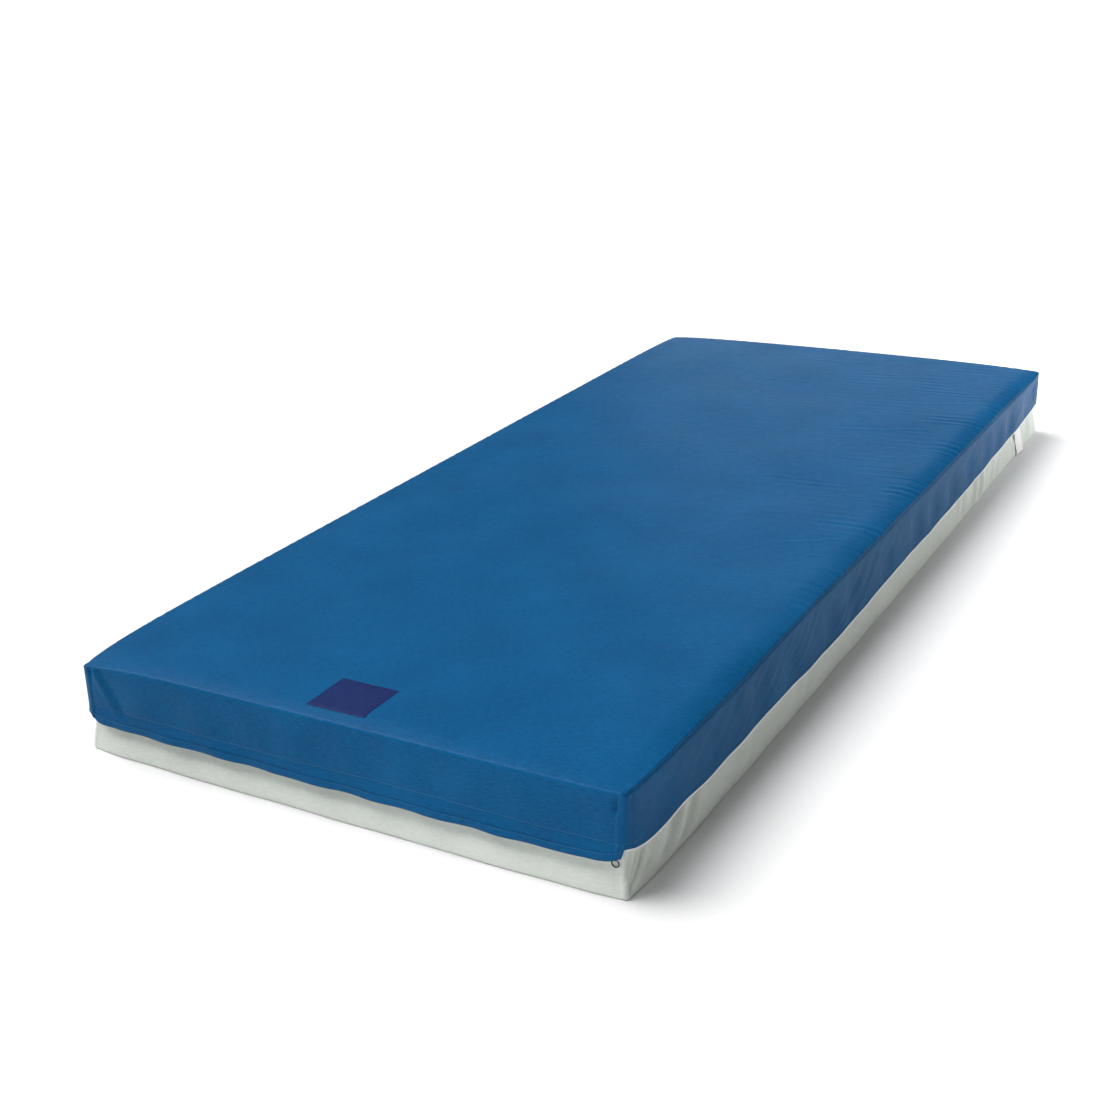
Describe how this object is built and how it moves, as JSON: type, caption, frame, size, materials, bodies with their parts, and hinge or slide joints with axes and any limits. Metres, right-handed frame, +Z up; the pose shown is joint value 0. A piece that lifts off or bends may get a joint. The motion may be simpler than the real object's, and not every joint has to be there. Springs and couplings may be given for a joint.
{
  "type": "pressure relief mattress",
  "caption": "Foam pressure relief mattress with a zipped two-piece cover, a blue coated top, a grey base, and a zoned foam core with a sloped heel section.",
  "frame": {"origin": "centre of the underside, on the surface that the mattress lies on", "axes": "+Z up; +Y along the mattress, from the foot end to the head end; +X towards the side where the covers are sewn together"},
  "size_m": [0.914, 2.032, 0.1525],
  "materials": {
    "cover_blue": "coated stretch knit, low sheen",
    "label_navy": "woven satin label",
    "zip_tape": "woven polyester tape",
    "zip_teeth": "moulded coil",
    "zip_metal": "black enamel",
    "cover_grey": "coated woven nylon, matt",
    "tag_white": "woven satin tape",
    "foam_head": "open-cell foam",
    "foam_body": "open-cell foam",
    "foam_heel": "open-cell viscoelastic foam",
    "foam_transition": "open-cell foam",
    "foam_wedge": "soft open-cell foam",
    "foam_base": "firm open-cell foam",
    "foam_bolster": "firm open-cell foam"
  },
  "bodies": {
    "root": {"bottom_cover": "cover_grey", "side_seam": "cover_grey", "lower_zip_tape": "zip_tape", "lower_zip_teeth": "zip_teeth", "lower_zip_stops": "zip_metal", "head_zone_foam": "foam_head", "body_zone_foam": "foam_body", "heel_zone_foam": "foam_heel", "transition_foam": "foam_transition", "heel_wedge": "foam_wedge", "base_foam": "foam_base", "left_bolster": "foam_bolster", "right_bolster": "foam_bolster"},
    "top_cover": {"top_cover": "cover_blue", "name_label": "label_navy", "upper_zip_tape": "zip_tape", "upper_zip_teeth": "zip_teeth", "upper_zip_stops": "zip_metal"},
    "zip_slider": {"slider_body": "zip_metal"},
    "pull_link": {"pull_link": "zip_metal"},
    "pull_ring": {"pull_ring": "zip_metal"},
    "care_tag": {"care_tag": "tag_white"}
  },
  "joints": [
    {"name": "cover_lift", "type": "hinge", "parent": "root", "child": "top_cover", "pos_m": [0.457, 0, 0.057], "axis": [0, 1, 0], "range_deg": [0, 90]},
    {"name": "slider_travel", "type": "slide", "parent": "root", "child": "zip_slider", "axis": [-1, 0, 0], "range_m": [0, 0.86]},
    {"name": "link_swing", "type": "hinge", "parent": "zip_slider", "child": "pull_link", "pos_m": [0.4385, -1.0125, 0.0585], "axis": [-1, 0, 0], "range_deg": [0, 30]},
    {"name": "ring_swing", "type": "hinge", "parent": "pull_link", "child": "pull_ring", "pos_m": [0.4385, -1.0125, 0.0525], "axis": [-1, 0, 0], "range_deg": [-8, 85]},
    {"name": "tag_swing", "type": "hinge", "parent": "root", "child": "care_tag", "pos_m": [0.4519, 0.852, 0.0548], "axis": [0, -1, 0], "range_deg": [0, 55]}
  ]
}
